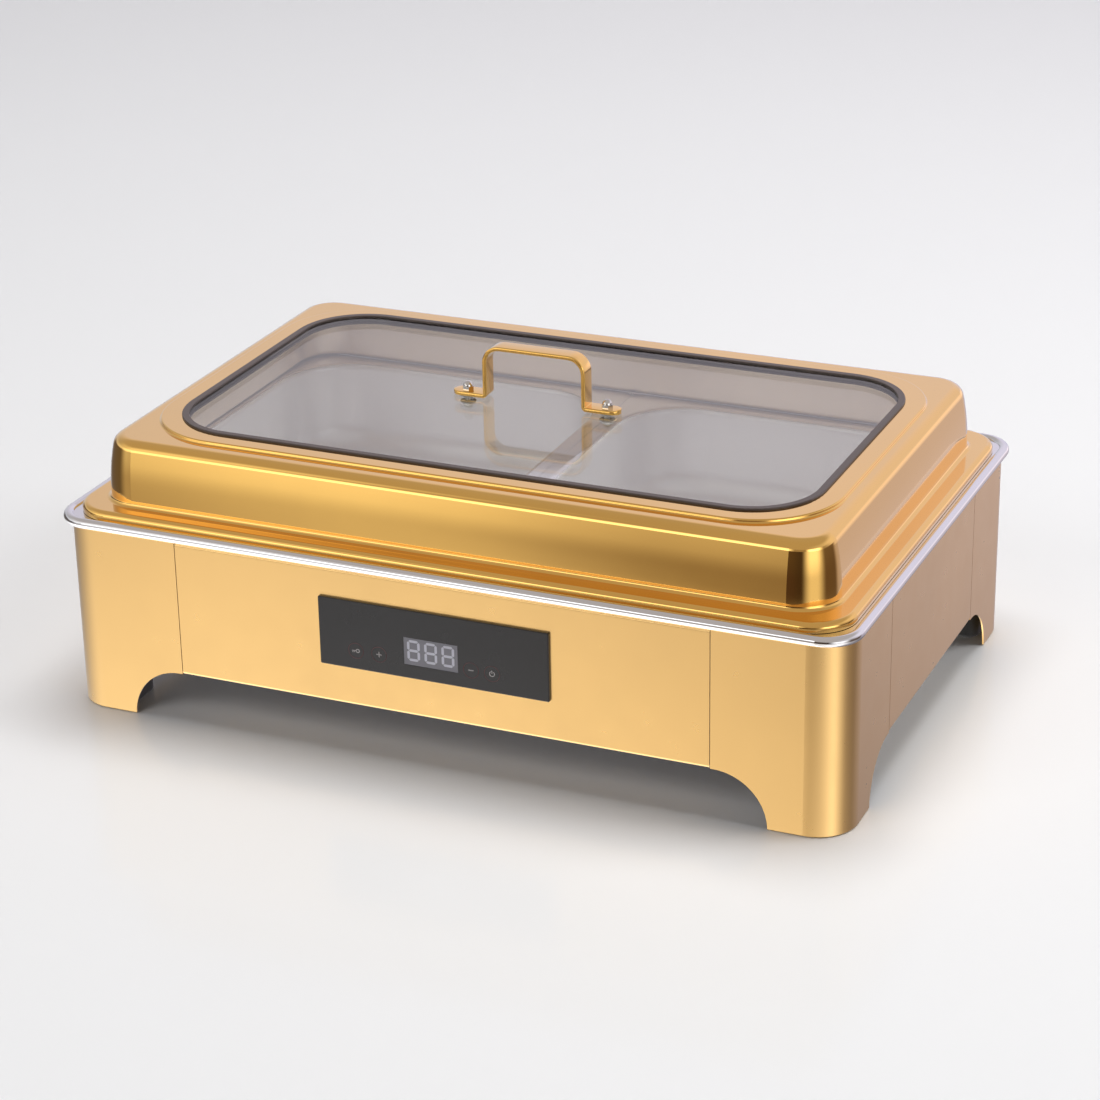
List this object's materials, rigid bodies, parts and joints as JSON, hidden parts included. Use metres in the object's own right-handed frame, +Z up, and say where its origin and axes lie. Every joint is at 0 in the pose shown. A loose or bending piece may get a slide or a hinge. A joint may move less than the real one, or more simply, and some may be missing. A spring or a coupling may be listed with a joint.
{
  "type": "electric chafing dish",
  "caption": "Rectangular electric food warmer on a legged sheet-metal housing, with touch controls, water pan, side-by-side food pans and a lift-off lid with a glass window.",
  "frame": {"origin": "centre of the footprint, on the surface that the feet stand on", "axes": "+X along the long side, to the right as seen by a person facing the control panel; +Y from the control panel to the back; +Z up"},
  "size_m": [0.557, 0.367, 0.228],
  "materials": {
    "gold_satin": "gold-coloured stainless sheet, fine satin",
    "gold_polished": "gold-coloured stainless sheet, mirror polished",
    "rim_chrome": "bright polished stainless",
    "pan_steel": "satin stainless",
    "plain_steel": "plain mill finish",
    "zinc_steel": "zinc plated",
    "polished_steel": "polished",
    "black_rubber": "matt",
    "clear_silicone": "translucent silicone",
    "gasket_rubber": "smooth, slightly shiny",
    "window_glass": "clear tempered glass",
    "fascia_black": "gloss black",
    "display_plastic": "grey diffuser",
    "black_plastic": "moulded, fine texture",
    "circuit_board": "green solder mask",
    "white_plastic": "moulded",
    "transformer_core": "blue sleeve",
    "aluminium": "extruded and rolled",
    "foam_grey": "conductive foam in woven cover",
    "mineral_mat": "woven ceramic fibre mat",
    "pin_brass": "nickel over brass",
    "wire_cover": "silicone sleeve"
  },
  "bodies": {
    "base": {"back_panel": "gold_satin", "board_nuts": "zinc_steel", "board_screws": "zinc_steel", "board_standoffs": "white_plastic", "board_terminals": "white_plastic", "bottom_tray": "plain_steel", "capacitors": "transformer_core", "control_box": "black_plastic", "control_fascia": "fascia_black", "corner_leg_back_left": "gold_satin", "corner_leg_back_right": "gold_satin", "corner_leg_front_left": "gold_satin", "corner_leg_front_right": "gold_satin", "display_lens": "display_plastic", "display_module": "display_plastic", "earth_nut": "zinc_steel", "earth_stud": "zinc_steel", "element_clamps": "plain_steel", "foot_brackets": "plain_steel", "foot_nuts": "zinc_steel", "foot_screws": "zinc_steel", "front_panel": "gold_satin", "heat_sink": "aluminium", "heater_plate": "aluminium", "heater_spacers": "zinc_steel", "heater_tray": "plain_steel", "heater_wires": "wire_cover", "heating_element": "plain_steel", "inlet_pins": "pin_brass", "inlet_screws": "zinc_steel", "inlet_wires": "wire_cover", "insulation_mat": "mineral_mat", "left_panel": "gold_satin", "panel_cable": "wire_cover", "plate_posts": "zinc_steel", "plate_screws": "zinc_steel", "power_board": "circuit_board", "power_inlet": "black_plastic", "relay": "black_plastic", "right_panel": "gold_satin", "rubber_feet": "black_rubber", "seam_straps": "plain_steel", "temperature_probe": "plain_steel", "terminal_block": "white_plastic", "thermal_cutout": "black_plastic", "touch_board": "circuit_board", "touch_pads": "foam_grey", "transformer": "transformer_core"},
    "water_pan": {"water_pan": "rim_chrome"},
    "lid": {"lid_shell": "gold_polished", "window_glass": "window_glass", "window_gasket": "gasket_rubber", "lid_handle": "gold_polished", "handle_washers": "clear_silicone", "handle_screws": "polished_steel", "handle_cap_nuts": "polished_steel"},
    "food_pan_left": {"food_pan_left": "pan_steel"},
    "food_pan_right": {"food_pan_right": "pan_steel"}
  },
  "joints": [
    {"name": "water_pan_lift", "type": "slide", "parent": "base", "child": "water_pan", "axis": [0, 0, 1], "range_m": [0, 0.12]},
    {"name": "lid_lift", "type": "slide", "parent": "water_pan", "child": "lid", "axis": [0, 0, 1], "range_m": [0, 0.3]},
    {"name": "left_pan_lift", "type": "slide", "parent": "water_pan", "child": "food_pan_left", "axis": [0, 0, 1], "range_m": [0, 0.15]},
    {"name": "right_pan_lift", "type": "slide", "parent": "water_pan", "child": "food_pan_right", "axis": [0, 0, 1], "range_m": [0, 0.15]}
  ],
  "couplings": [
    {"joint": "left_pan_lift", "follows": "lid_lift", "ratio": 0.5},
    {"joint": "right_pan_lift", "follows": "lid_lift", "ratio": 0.5}
  ]
}
